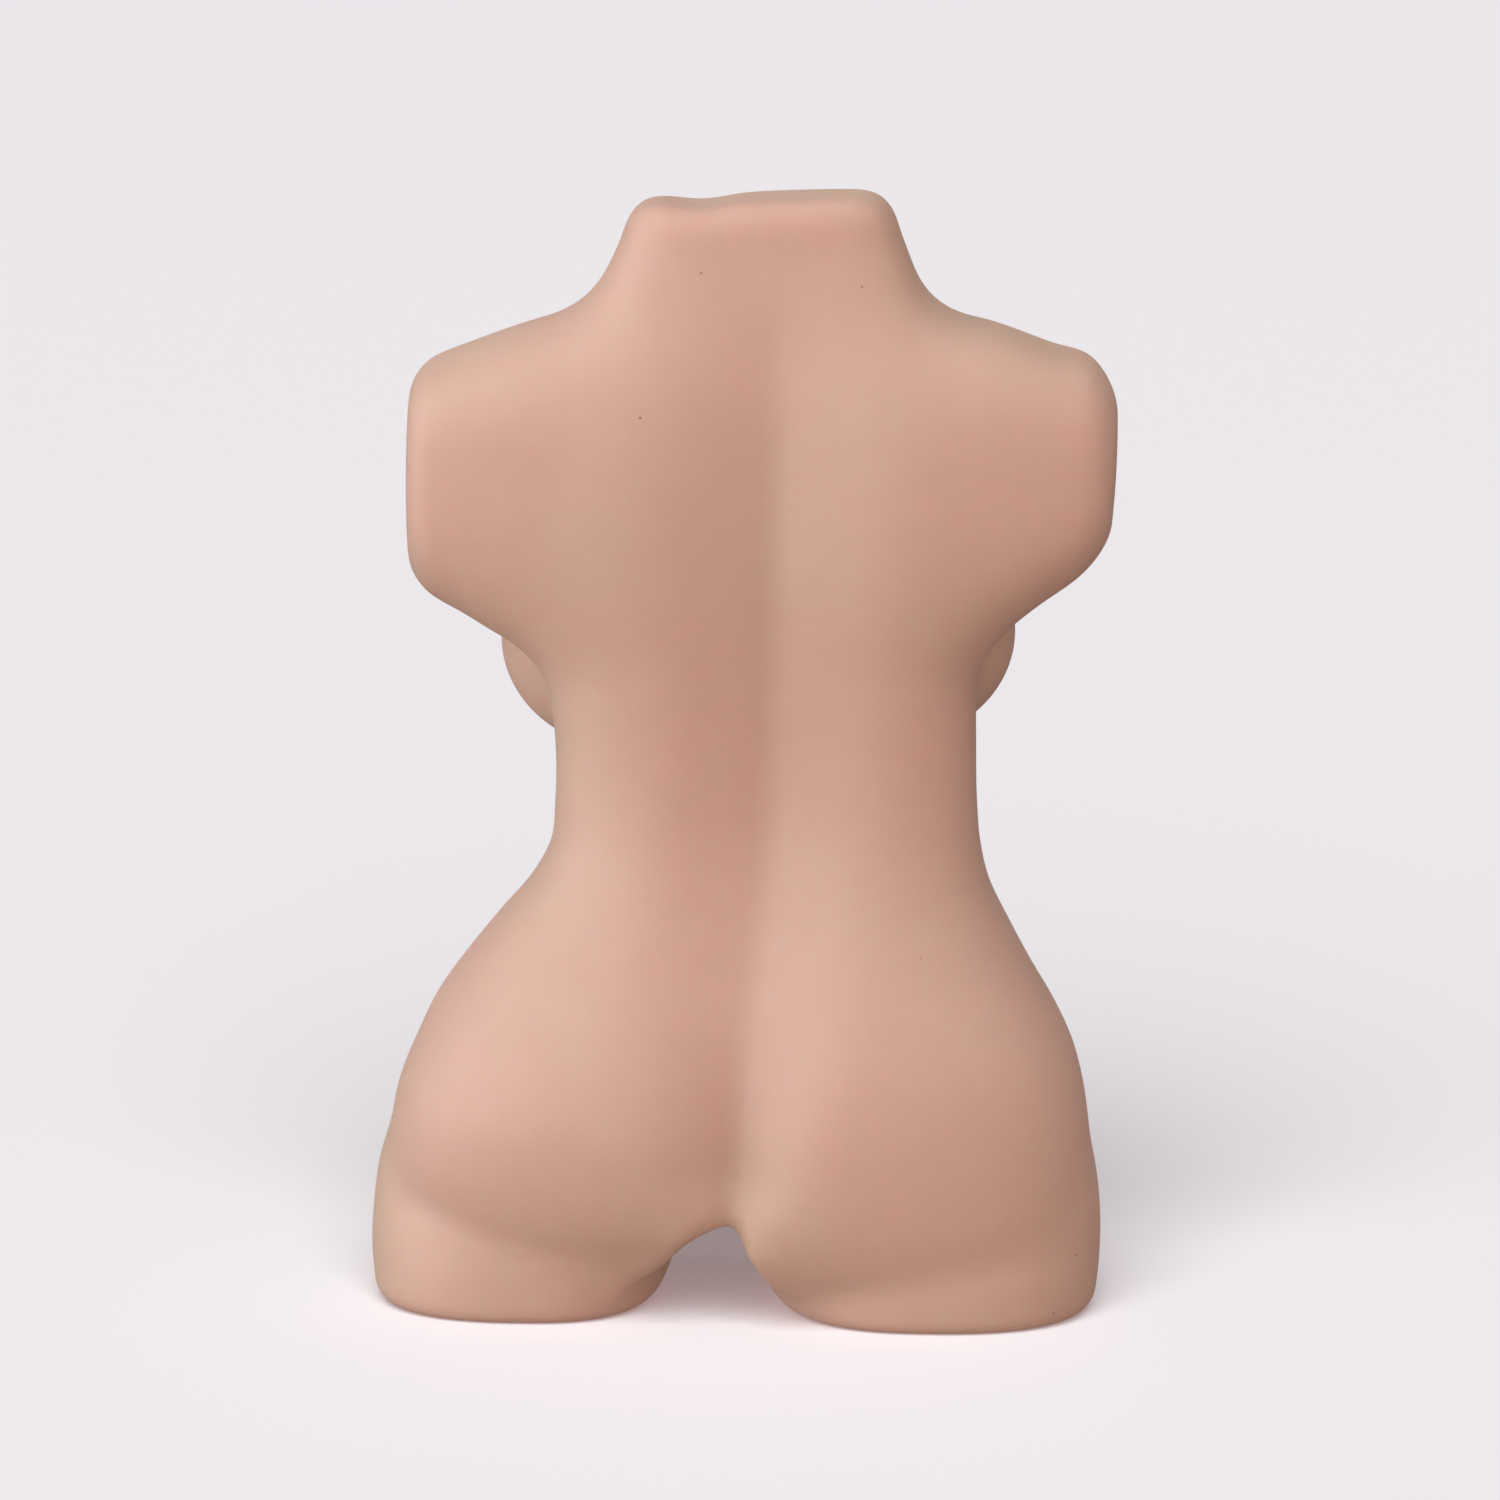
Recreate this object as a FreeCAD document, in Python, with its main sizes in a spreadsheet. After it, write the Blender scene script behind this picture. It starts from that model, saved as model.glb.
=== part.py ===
"""Limbless soft torso mannequin that stands on its two thigh stumps.

A thick moulded elastomer skin covers a foam core, and the foam core holds a clamped tube skeleton with one
friction hinge at the waist. Millimetres, +Z up, the back of the figure faces +Y. The origin is on the floor,
under the middle of the figure's box.
"""
import FreeCAD, Part
import math
import os
import re
import Sketcher
from FreeCAD import Placement, Rotation, Vector

# ---------------------------------------------------------------- driving dimensions
DIMENSIONS = {
    # overall
    "total_height": 560,
    "pelvis_shift": 4,          # the pelvis stands a little to the figure's left of the box's middle
    "chest_shift": -7.5,        # and the chest a little to its right
    "skin_thickness": 16,
    "spine_depth": -4,          # where the frame stands, a little in front of the box's middle
    "sole_thickness": 8,
    "fit_gap": 0.4,             # free space round each piece that is bedded in foam or skin
    "face_gap": 0.1,            # between flat faces that meet
    # thigh stumps
    "thigh_spacing": 101,       # from the pelvis centre line to each stump's centre line
    "thigh_top": 70,
    # waist
    "waist_bottom": 224,
    "hinge_height": 252,
    "waist_top": 282,
    # tubes
    "tube_radius": 12.5,
    "tube_wall": 2,
    "tube_fit": 0.1,            # radial clearance of a tube in its clamp
    # pelvis frame
    "crossbar_height": 110,
    "crossbar_reach": 120,      # from the centre line to each end of the pelvis crossbar
    "post_gap": 2,              # between the end of a post and the bar that it stands on
    "block_half": 20.5,         # half the width of a clamp block
    "block_rise": 16,           # how far a clamp block reaches past its crossbar's axis
    "block_drop": 40,           # and how far along the post
    "block_edge": 4,
    # end plates
    "plate_thickness": 4,
    "boss_radius": 20.5,
    "boss_length": 22,
    "foot_plate_radius": 48,
    "shoulder_plate_radius": 24,
    "neck_plate_radius": 24,
    "foot_pad_thickness": 6,
    "shoulder_pad_thickness": 8,
    "neck_pad_thickness": 12,
    # shoulder frame
    "shoulder_height": 421,
    "shoulder_reach": 146,      # from the chest centre line to the inner face of each shoulder plate
    "neck_plate_height": 528,
    # waist hinge
    "socket_radius": 17,
    "socket_depth": 22,
    "socket_base": 6,
    "fork_socket_bottom": 200,
    "tongue_socket_rise": 32,   # from the hinge axis up to the tongue's socket
    "cheek_thickness": 6,
    "cheek_radius": 15,
    "tongue_half": 4,
    "tongue_radius": 14,
    "washer_thickness": 1.5,
    "washer_radius": 14,
    "side_play": 0.05,
    "bolt_radius": 5,
    "bolt_running_fit": 0.05,
    "bolt_hole_fit": 0.1,
    "bolt_head_radius": 9.2,
    "bolt_head_height": 6.4,
    "bolt_tail": 12.5,          # how far the bolt's shank reaches past the fork
    "disc_spring_height": 3,
    "disc_spring_radius": 11.5,
    "nut_height": 8,
    "roll_pin_radius": 2.5,
    "roll_pin_fit": 0.05,
    # hinge boot
    "boot_wall": 2.5,
    "boot_radius": 28,
    "boot_wave": 2.5,
    "boot_collar": 7,
    "boot_shoulder": 11,        # height of the cone between a collar and the first pleat
    "boot_bottom": 202,
    "boot_top": 310,
    "tie_width": 5,
    "tie_thickness": 2,
    # fasteners
    "screw_radius": 3,
    "screw_length": 7,
    "screw_fit": 0.1,
    "screw_seat": 0.3,          # from the tube to the tip of its set screw
    "hex_key_radius": 1.7,
    "hex_key_depth": 4,
    # soft chest pads
    "bust_spacing": 68,
    "bust_height": 338,
    "bust_depth": 62,
    "bust_radius_across": 62,
    "bust_radius_deep": 59,
    "bust_radius_high": 55.5,
    "gel_depth": 86,
    "gel_radius_across": 38,
    "gel_radius_deep": 18,
    "gel_radius_high": 36,
}

# Ellipse sections of the outer skin, about evenly spaced, which keeps a loft through them from bulging.
# Flat sections: height, half width, half depth, lean (0 over the pelvis, 1 over the chest), centre deep.
HIPS = {
    "crotch": (38, 160, 80, 0, 10),
    "seat": (84, 181, 103, 0, 18),
    "hip": (130, 167, 97, 0.15, 13),
    "flank": (177, 140, 80, 0.5, 0),
    "waist_low": (224, 111, 68, 0.95, -14),
}
WAIST = {
    "waist_low": (224, 111, 68, 0.95, -14),
    "waist_mid": (252, 107, 68, 1, -16),
    "waist_high": (282, 107, 70, 1, -15),
}
CHEST = {
    "waist_high": (282, 107, 70, 1, -15),
    "ribs_low": (314, 108, 76, 1, -12),
    "ribs_mid": (346, 114, 82, 1, -9),
    "ribs_high": (378, 120, 84, 1, -7),
    "blades": (410, 118, 80, 1, -5),
    "chest_top": (442, 106, 70, 1, -2),
}
NECK = {
    "neck_root": (455, 92, 54, 1, 0),
    "neck_base": (490, 95, 57, 1, 0),
    "neck_low": (525, 78, 53, 1, -4),
    "neck_top": (560, 64, 45, 1, -5),
}
THIGH = {
    "sole": (0, 72, 74, 0, 2),
    "stump": (28, 80, 82, 0, 2),
    "stump_high": (56, 80, 81, 0, 3),
    "stump_top": (84, 73, 70, 0, 6),
}
# Upright sections along the shoulders: distance from the chest centre line, half height, half depth,
# centre height, centre deep.
SHOULDERS = {
    "yoke": (0, 88, 73, 418, 0),
    "trapezius": (46, 88, 73, 418, 0),
    "collar": (92, 84, 71, 418, 0),
    "armpit": (136, 71, 64, 420, 2),
    "stump_face": (178, 51, 50, 421, 2),
}

BOOT_PLEATS = 6

doc = FreeCAD.newDocument("torso_mannequin")
sheet = doc.addObject("Spreadsheet::Sheet", "Dimensions")


def fill_sheet(values):
    """Writes each driving dimension to a row of the sheet, under its own alias."""
    for row, (alias, value) in enumerate(values.items(), start=1):
        sheet.set(f"A{row}", alias)
        sheet.set(f"B{row}", str(value))
        sheet.setAlias(f"B{row}", alias)


FLAT_NAMES = ("height", "half_width", "half_depth", "lean", "deep")
UPRIGHT_NAMES = ("reach", "half_height", "half_depth", "height", "deep")
for group, names, sections in (
    ("hips", FLAT_NAMES, HIPS),
    ("waist", FLAT_NAMES, WAIST),
    ("chest", FLAT_NAMES, CHEST),
    ("neck", FLAT_NAMES, NECK),
    ("thigh", FLAT_NAMES, THIGH),
    ("shoulder", UPRIGHT_NAMES, SHOULDERS),
):
    for section, values in sections.items():
        for name, value in zip(names, values):
            DIMENSIONS[f"{group}_{section}_{name}"] = value
fill_sheet(DIMENSIONS)
doc.recompute()

# ---------------------------------------------------------------- small helpers
TURNS = {
    "X": Rotation(Vector(0, 1, 0), 90),
    "-X": Rotation(Vector(0, 1, 0), -90),
    "Y": Rotation(Vector(1, 0, 0), -90),
    "-Y": Rotation(Vector(1, 0, 0), 90),
    "Z": Rotation(),
    "-Z": Rotation(Vector(0, 1, 0), 180),
    "deep": Rotation(Vector(0, 0, 1), 90),                                            # long way front to back
    "upright": Rotation(Vector(0, 0, 1), Vector(0, 1, 0), Vector(-1, 0, 0), "ZYX"),   # long way up, across X
}


def formula(text):
    """An expression in the sheet's aliases, with each alias given its sheet's name."""
    return re.sub(r"[a-z]\w+", lambda m: "Dimensions." + m[0] if m[0] in DIMENSIONS else m[0], str(text))


def bind(thing, **cells):
    for name, text in cells.items():
        thing.setExpression(name, formula(text))


def place(thing, at, axis="Z"):
    """Puts a thing at a point given by three formulas, with its own Z along an axis."""
    thing.Placement = Placement(Vector(), TURNS[axis])
    for name, text in zip("xyz", at):
        thing.setExpression("Placement.Base." + name, formula(text))
    return thing


def solid(kind, name, at, axis="Z", **cells):
    """A Part primitive whose sizes and place come from the sheet."""
    made = doc.addObject("Part::" + kind, name)
    bind(made, **cells)
    return place(made, at, axis)


def rod(name, radius, length, at, axis="Z"):
    return solid("Cylinder", name, at, axis, Radius=radius, Height=length)


def cut(name, base, *tools):
    made = doc.addObject("Part::Cut", name)
    made.Base = base
    made.Tool = tools[0] if len(tools) == 1 else fuse(name + "_tools", *tools)
    return made


def fuse(name, *shapes):
    made = doc.addObject("Part::MultiFuse", name)
    made.Shapes = list(shapes)
    return made


def group(name, *shapes):
    made = doc.addObject("Part::Compound", name)
    made.Links = list(shapes)
    return made


def part(thing, label):
    """Marks a finished piece: its label names its node."""
    thing.Label = label
    PARTS.append(thing)
    return thing


PARTS = []


# ---------------------------------------------------------------- PartDesign helpers
def new_body(name, at, axis="Z"):
    return place(doc.addObject("PartDesign::Body", name), at, axis)


def new_sketch(body, name, plane="XY", lift="0"):
    sketch = body.newObject("Sketcher::SketchObject", name)
    origin = next(f for f in body.Origin.OriginFeatures if f.Role == plane + "_Plane")
    sketch.AttachmentSupport = [(origin, "")]
    sketch.MapMode = "FlatFace"
    sketch.setExpression("AttachmentOffset.Base.z", formula(lift))
    return sketch


def draw_circle(sketch, radius, across="0", up="0"):
    """A circle whose radius and centre are bound to the sheet."""
    number = sketch.addGeometry(Part.Circle(Vector(1, 1, 0), Vector(0, 0, 1), 3))
    for kind, sizes, text in (
        ("Radius", (number, 3), radius),
        ("DistanceX", (-1, 1, number, 3, 1), across),
        ("DistanceY", (-1, 1, number, 3, 1), up),
    ):
        if kind != "Radius" and text == "0":
            axis_line = -2 if kind == "DistanceX" else -1
            sketch.addConstraint(Sketcher.Constraint("PointOnObject", number, 3, axis_line))
            continue
        constraint = sketch.addConstraint(Sketcher.Constraint(kind, *sizes))
        sketch.setExpression(f"Constraints[{constraint}]", formula(text))


def draw_tab(sketch, half_width, foot, top):
    """A tab with a round end: a half circle of half_width about (0, top), down to a straight foot."""
    half, low, high = 15, 25, 55
    circle = Part.Circle(Vector(0, high, 0), Vector(0, 0, 1), half)
    arc = sketch.addGeometry(Part.ArcOfCircle(circle, 0, math.pi))
    left = sketch.addGeometry(Part.LineSegment(Vector(-half, high, 0), Vector(-half, low, 0)))
    base = sketch.addGeometry(Part.LineSegment(Vector(-half, low, 0), Vector(half, low, 0)))
    right = sketch.addGeometry(Part.LineSegment(Vector(half, low, 0), Vector(half, high, 0)))
    for facts in (
        ("Tangent", arc, 2, left, 1),
        ("Coincident", left, 2, base, 1),
        ("Coincident", base, 2, right, 1),
        ("Tangent", right, 2, arc, 1),
        ("Vertical", left),
        ("Vertical", right),
        ("Horizontal", base),
        ("PointOnObject", arc, 3, -2),
    ):
        sketch.addConstraint(Sketcher.Constraint(*facts))
    for facts, text in (
        (("Radius", arc, half), half_width),
        (("DistanceY", -1, 1, arc, 3, high), top),
        (("DistanceY", -1, 1, base, 1, low), foot),
    ):
        constraint = sketch.addConstraint(Sketcher.Constraint(*facts))
        sketch.setExpression(f"Constraints[{constraint}]", formula(text))


def extrude(body, kind, name, sketch, length, middle=False, back=False):
    """A Pad or a Pocket of a sketch, as long as a formula says."""
    made = body.newObject("PartDesign::" + kind, name)
    made.Profile = sketch
    made.setExpression("Length", formula(length))
    made.Midplane = middle
    made.Reversed = back
    return made


def tube(label, length, at, axis="Z"):
    """A length of the frame's round tube, from a point along an axis."""
    body = new_body(label, at, axis)
    ring = new_sketch(body, label + "_ring")
    draw_circle(ring, "tube_radius")
    draw_circle(ring, "tube_radius - tube_wall")
    extrude(body, "Pad", label + "_pad", ring, length)
    return body


def end_plate(label, radius, at, axis):
    """A round plate with a boss that takes the end of a tube, and a set screw hole in the boss."""
    body = new_body(label, at, axis)
    disc = new_sketch(body, label + "_disc")
    draw_circle(disc, radius)
    extrude(body, "Pad", label + "_plate", disc, "plate_thickness")
    boss = new_sketch(body, label + "_boss_outline", lift="plate_thickness")
    draw_circle(boss, "boss_radius")
    extrude(body, "Pad", label + "_boss", boss, "boss_length")
    bore = new_sketch(body, label + "_bore_outline", lift="plate_thickness")
    draw_circle(bore, "tube_radius + tube_fit")
    extrude(body, "Pocket", label + "_bore", bore, "boss_length", back=True)
    screw = new_sketch(body, label + "_screw_outline", plane="XZ")
    draw_circle(screw, "screw_radius + screw_fit", up="plate_thickness + boss_length / 2")
    extrude(body, "Pocket", label + "_screw_hole", screw, "boss_radius")
    return body


# ---------------------------------------------------------------- soft shapes
def loft(name, rings):
    made = doc.addObject("Part::Loft", name)
    made.Sections = rings
    made.Solid = True
    made.MaxDegree = 3
    return made


def flat_loft(name, family, sections, inset="0", middle=None, bottom=None, top=None):
    """A closed loft through flat ellipses drawn in by inset, with its middle, bottom and top if given."""
    rings = []
    for section in sections:
        cell = f"{family}_{section}_"
        height = bottom if bottom and not rings else cell + "height"
        if top and section == list(sections)[-1]:
            height = top
        across = middle or f"pelvis_shift + {cell}lean * (chest_shift - pelvis_shift)"
        wide, deep = f"{cell}half_width - ({inset})", f"{cell}half_depth - ({inset})"
        major, minor, turn = wide, deep, "Z"
        if sections[section][1] < sections[section][2]:
            major, minor, turn = deep, wide, "deep"
        rings.append(solid("Ellipse", f"{name}_{section}", (across, cell + "deep", height), turn,
                           MajorRadius=major, MinorRadius=minor))
    return loft(name, rings)


def shoulder_loft(name, inset="0", reach="shoulder_stump_face_reach"):
    """A closed loft through upright ellipses from the right shoulder to the left one."""
    rings = []
    right = [(section, "-") for section in reversed(SHOULDERS)]
    left = [(section, "+") for section in SHOULDERS][1:]
    for section, sign in right + left:
        cell = f"shoulder_{section}_"
        out = reach if section == "stump_face" else cell + "reach"
        at = (f"chest_shift {sign} ({out})", cell + "deep", cell + "height")
        tall, deep = f"{cell}half_height - ({inset})", f"{cell}half_depth - ({inset})"
        rings.append(solid("Ellipse", f"{name}_{len(rings)}", at, "upright", MajorRadius=tall, MinorRadius=deep))
    return loft(name, rings)


def thighs(name, inset="0", bottom=None):
    return [
        flat_loft(f"{name}_{side}", "thigh", THIGH, inset, f"pelvis_shift {sign} thigh_spacing", bottom)
        for side, sign in (("left", "+"), ("right", "-"))
    ]


def hips_form(name, inset="0", floor=None, crotch=None, top=None):
    return fuse(name, flat_loft(name + "_hips", "hips", HIPS, inset, bottom=crotch, top=top),
                *thighs(name + "_thigh", inset, floor))


def waist_form(name, inset="0"):
    bottom, top = "waist_bottom + face_gap", "waist_top - face_gap"
    return flat_loft(name, "waist", WAIST, inset, bottom=bottom, top=top)


def busts(name, deep, across, high, middle):
    """The two rounded fronts of the chest, as ellipsoids."""
    made = []
    for side, sign in (("left", "+"), ("right", "-")):
        at = (f"chest_shift {sign} bust_spacing", f"-({middle})", "bust_height")
        made.append(solid("Ellipsoid", f"{name}_{side}", at, Radius1=high, Radius2=across, Radius3=deep))
    return made


def chest_form(name, inset="0", neck_top=None, reach="shoulder_stump_face_reach", bottom=None):
    return [
        flat_loft(name + "_ribs", "chest", CHEST, inset, bottom=bottom),
        shoulder_loft(name + "_shoulders", inset, reach),
        flat_loft(name + "_neck", "neck", NECK, inset, top=neck_top),
    ]


# ---------------------------------------------------------------- hard pieces
def on_spine(height):
    """A point on the frame's upright centre line."""
    return ("0", "spine_depth", height)


def set_screw(name, at, axis):
    """A hexagon socket set screw from a point near its tube outwards along an axis."""
    shank = rod(name + "_shank", "screw_radius", "screw_length", at, axis)
    key = solid("Prism", name + "_key", at, axis, Circumradius="hex_key_radius", Height="screw_length + 1")
    key.Polygon = 6
    tip = rod(name + "_tip", "screw_radius", "screw_length - hex_key_depth", at, axis)
    return fuse(name, cut(name + "_socket", shank, key), tip)


def screw_at(across, height, axis="Y"):
    """Where a set screw stands in a wall beside the upright plane of the frame."""
    sign = "-" if axis == "-Y" else "+"
    return (across, f"spine_depth {sign} (tube_radius + screw_seat)", height), axis


def clamp_block(label, across, height, ways):
    """A square clamp on a crossbar, with a bore for each post above or below it, and its screw holes."""
    width = "2 * block_half"
    down = "block_drop" if "-Z" in ways else "block_rise"
    up = "block_drop" if "Z" in ways else "block_rise"
    corner = (f"{across} - block_half", "spine_depth - block_half", f"{height} - {down}")
    raw = solid("Box", label + "_raw", corner, Length=width, Width=width, Height=f"{down} + {up}")
    doc.recompute()
    edges = enumerate(raw.Shape.Edges, start=1)
    size = DIMENSIONS["block_edge"]
    rounded = doc.addObject("Part::Fillet", label + "_rounded")
    rounded.Base = raw
    rounded.Edges = [(n, size, size) for n, e in edges if abs(e.tangentAt(e.FirstParameter).z) > 0.9]
    bore, thread = "tube_radius + tube_fit", "screw_radius + screw_fit"
    tools = [rod(label + "_bar_bore", bore, width, (f"{across} - block_half", "spine_depth", height), "X"),
             rod(label + "_bar_screw", thread, width, (across, "spine_depth", height), "-Y")]
    for way in ways:
        sign = "-" if way == "-Z" else "+"
        start = f"{height} {sign} (tube_radius + post_gap)"
        screw_height = f"{height} {sign} (block_drop - 8)"
        name = f"{label}_post_{len(tools)}"
        tools.append(rod(name + "_bore", bore, "block_drop", (across, "spine_depth", start), way))
        tools.append(rod(name + "_screw", thread, width, (across, "spine_depth", screw_height), "Y"))
    return part(cut(label, rounded, *tools), label)


def hinge_half(label, at, axis, reach, radius, half_thickness):
    """A socket for a tube, with a round ended tab: reach is from the socket's mouth to the hinge axis."""
    body = new_body(label, at, axis)
    outline = new_sketch(body, label + "_socket_outline")
    draw_circle(outline, "socket_radius")
    extrude(body, "Pad", label + "_socket", outline, "socket_depth + socket_base")
    tab = new_sketch(body, label + "_tab_outline", plane="YZ")
    draw_tab(tab, radius, "socket_depth + 1", reach)
    extrude(body, "Pad", label + "_tab", tab, f"2 * ({half_thickness})", middle=True)
    bore = new_sketch(body, label + "_bore_outline")
    draw_circle(bore, "tube_radius + tube_fit")
    extrude(body, "Pocket", label + "_bore", bore, "socket_depth", back=True)
    pin = new_sketch(body, label + "_pin_outline", plane="XZ")
    draw_circle(pin, "roll_pin_radius + roll_pin_fit", up="socket_depth / 2")
    extrude(body, "Pocket", label + "_pin_hole", pin, "4 * socket_radius", middle=True)
    return body


def hinge_hole(body, radius, reach):
    """The hole for the hinge bolt, right through a hinge half."""
    hole = new_sketch(body, body.Name + "_hole_outline", plane="YZ")
    draw_circle(hole, radius, up=reach)
    extrude(body, "Pocket", body.Name + "_hole", hole, "4 * socket_radius", middle=True)


def pinned_tube(label, length, at, axis, pin_height):
    """A frame tube with a cross hole for the roll pin of its socket."""
    body = tube(label, length, at, axis)
    hole = new_sketch(body, label + "_pin_outline", plane="XZ")
    draw_circle(hole, "roll_pin_radius + roll_pin_fit", up=pin_height)
    extrude(body, "Pocket", label + "_pin_hole", hole, "4 * tube_radius", middle=True)
    return part(body, label)


def ring(name, inner, outer, width, at, axis="Z"):
    disc, hole = rod(name + "_outer", outer, width, at, axis), rod(name + "_inner", inner, width, at, axis)
    return cut(name, disc, hole)


def waist_hinge():
    """The fork on the pelvis post, the tongue under the spine tube and the bolt that clamps them together."""
    spine = ("0", "spine_depth")
    slot_half = "(tongue_half + washer_thickness + 2 * side_play)"
    fork = hinge_half("hinge_fork", (*spine, "fork_socket_bottom"), "Z", "hinge_height - fork_socket_bottom",
                      "cheek_radius", f"{slot_half} + cheek_thickness")
    slot = new_sketch(fork, "hinge_fork_slot_outline", plane="YZ")
    draw_tab(slot, "cheek_radius + 6", "socket_depth + socket_base", "hinge_height - fork_socket_bottom")
    extrude(fork, "Pocket", "hinge_fork_slot", slot, f"2 * {slot_half}", middle=True)
    hinge_hole(fork, "bolt_radius + bolt_hole_fit", "hinge_height - fork_socket_bottom")
    part(fork, "hinge_fork")

    top = "(hinge_height + tongue_socket_rise + socket_depth + socket_base)"
    tongue = hinge_half("hinge_tongue", (*spine, top), "-Z", f"{top} - hinge_height",
                        "tongue_radius", "tongue_half")
    hinge_hole(tongue, "bolt_radius + bolt_running_fit", f"{top} - hinge_height")
    part(tongue, "hinge_tongue")

    face = f"({slot_half} + cheek_thickness + face_gap)"
    head = solid("Prism", "hinge_bolt_head", (f"-{face}", "spine_depth", "hinge_height"), "-X",
                 Circumradius="bolt_head_radius", Height="bolt_head_height")
    shank = rod("hinge_bolt_shank", "bolt_radius", f"{face} * 2 + bolt_tail",
                (f"-{face}", "spine_depth", "hinge_height"), "X")
    part(fuse("hinge_bolt", head, shank), "hinge_bolt")
    spring_at = (face, "spine_depth", "hinge_height")
    part(ring("hinge_disc_spring", "bolt_radius + bolt_hole_fit", "disc_spring_radius", "disc_spring_height",
              spring_at, "X"), "hinge_disc_spring")
    nut_at = (f"{face} + disc_spring_height + face_gap", "spine_depth", "hinge_height")
    nut = solid("Prism", "hinge_nut_body", nut_at, "X", Circumradius="bolt_head_radius", Height="nut_height")
    thread = rod("hinge_nut_thread", "bolt_radius + bolt_running_fit", "nut_height", nut_at, "X")
    part(cut("hinge_nut", nut, thread), "hinge_nut")
    washers = [
        ring(f"hinge_washer_{side}", "bolt_radius + bolt_hole_fit", "washer_radius", "washer_thickness",
             (f"{sign}(tongue_half + side_play)", "spine_depth", "hinge_height"), axis)
        for side, sign, axis in (("left", "", "X"), ("right", "-", "-X"))
    ]
    part(group("hinge_friction_washers", *washers), "hinge_friction_washers")
    for label, height in (("fork_roll_pin", "fork_socket_bottom + socket_depth / 2"),
                          ("tongue_roll_pin", f"{top} - socket_depth / 2")):
        pin = rod(label, "roll_pin_radius", "2 * (socket_radius - 1)",
                  ("0", "spine_depth - (socket_radius - 1)", height), "Y")
        part(pin, label)


def bellows(name, grow):
    """A stack of cones that widens and narrows six times between two straight collars."""
    collar = f"socket_radius + tube_fit + {grow}"
    pleat = f"(boot_top - boot_bottom - 2 * boot_collar - 2 * boot_shoulder) / {2 * BOOT_PLEATS}"
    low, high = "boot_bottom + boot_collar", "boot_top - boot_collar"
    slim, wide = f"boot_radius - boot_wave + {grow}", f"boot_radius + boot_wave + {grow}"
    cones = [
        rod(name + "_low_collar", collar, "boot_collar", on_spine("boot_bottom")),
        solid("Cone", name + "_low", on_spine(low), Radius1=collar, Radius2=slim, Height="boot_shoulder"),
        solid("Cone", name + "_high", on_spine(f"{high} - boot_shoulder"), Radius1=slim, Radius2=collar,
              Height="boot_shoulder"),
        rod(name + "_high_collar", collar, "boot_collar", on_spine(high)),
    ]
    for n in range(2 * BOOT_PLEATS):
        first, second = (wide, slim) if n % 2 else (slim, wide)
        height = f"{low} + boot_shoulder + {n} * {pleat}"
        cones.append(solid("Cone", f"{name}_{n}", on_spine(height),
                           Radius1=first, Radius2=second, Height=pleat))
    return fuse(name, *cones)


def hinge_boot():
    """The pleated rubber sleeve round the hinge, and the ties that hold its two collars."""
    part(cut("hinge_boot", bellows("boot_outside", "boot_wall"), bellows("boot_inside", "0")), "hinge_boot")
    inside = "socket_radius + tube_fit + boot_wall + face_gap"
    ties = ("boot_tie_lower", "boot_bottom + 1"), ("boot_tie_upper", "boot_top - tie_width - 1")
    for label, height in ties:
        part(ring(label, inside, f"{inside} + tie_thickness", "tie_width", on_spine(height)), label)


def pelvis_frame():
    """The crossbar, the post up to the hinge, and a post with its plate and pad in each thigh stump."""
    part(tube("pelvis_crossbar", "2 * crossbar_reach",
              ("pelvis_shift - crossbar_reach", "spine_depth", "crossbar_height"), "X"), "pelvis_crossbar")
    start = "(crossbar_height + tube_radius + post_gap)"
    length = f"fork_socket_bottom + socket_depth - {start}"
    pinned_tube("pelvis_post", length, on_spine(start), "Z", f"{length} - socket_depth / 2")
    clamp_block("pelvis_clamp", "0", "crossbar_height", ["Z"])
    plate = "(sole_thickness + foot_pad_thickness)"
    foot = f"({plate} + plate_thickness)"
    for side, sign in (("left", "+"), ("right", "-")):
        across = f"pelvis_shift {sign} thigh_spacing"
        clamp_block("thigh_clamp_" + side, across, "crossbar_height", ["-Z"])
        part(tube("thigh_post_" + side, f"crossbar_height - tube_radius - post_gap - {foot} - face_gap",
                  (across, "spine_depth", f"{foot} + face_gap")), "thigh_post_" + side)
        part(end_plate("foot_plate_" + side, "foot_plate_radius", (across, "spine_depth", plate), "Z"),
             "foot_plate_" + side)
        part(rod("foot_pad_" + side, "foot_plate_radius", "foot_pad_thickness - face_gap",
                 (across, "spine_depth", "sole_thickness")), "foot_pad_" + side)


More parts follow.
